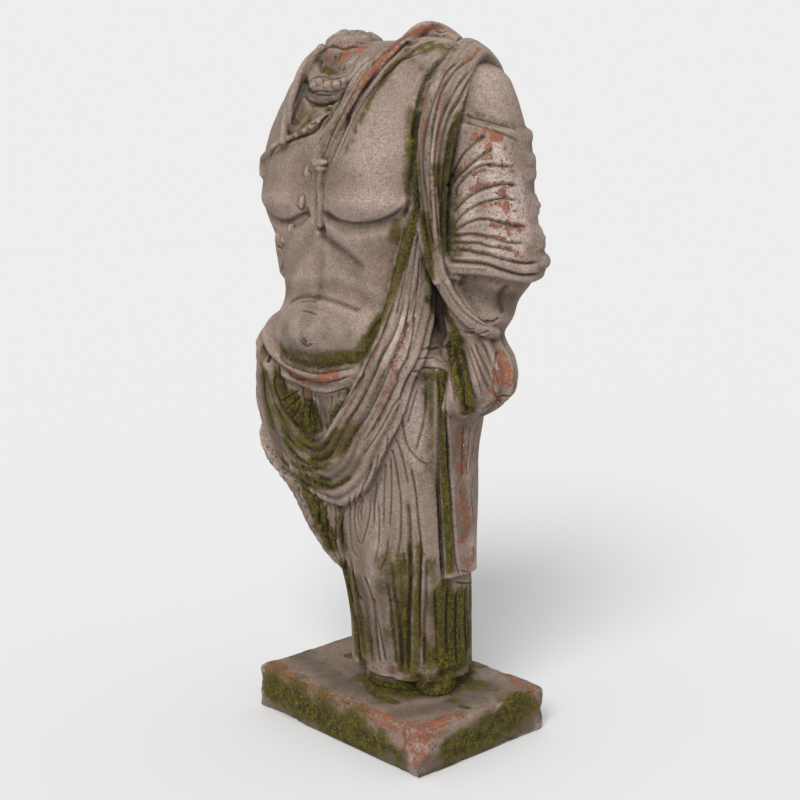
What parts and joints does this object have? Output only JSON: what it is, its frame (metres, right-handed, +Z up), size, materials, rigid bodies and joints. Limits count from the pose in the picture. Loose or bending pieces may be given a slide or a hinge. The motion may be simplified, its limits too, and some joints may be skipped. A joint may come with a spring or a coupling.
{
  "type": "stone torso statue",
  "caption": "Weathered stone torso of a headless draped standing figure with a bare chest, cords, a shawl and a sash, on a rectangular plinth.",
  "frame": {"origin": "middle of the plinth's underside", "axes": "+Z up, the figure faces -Y and its left side is at +X"},
  "size_m": [0.469, 0.2958, 1],
  "materials": {
    "torso": "rough, weathered and mossy",
    "plinth": "rough, worn and mossy"
  },
  "bodies": {
    "root": {"torso": "torso", "plinth": "plinth"}
  },
  "joints": []
}
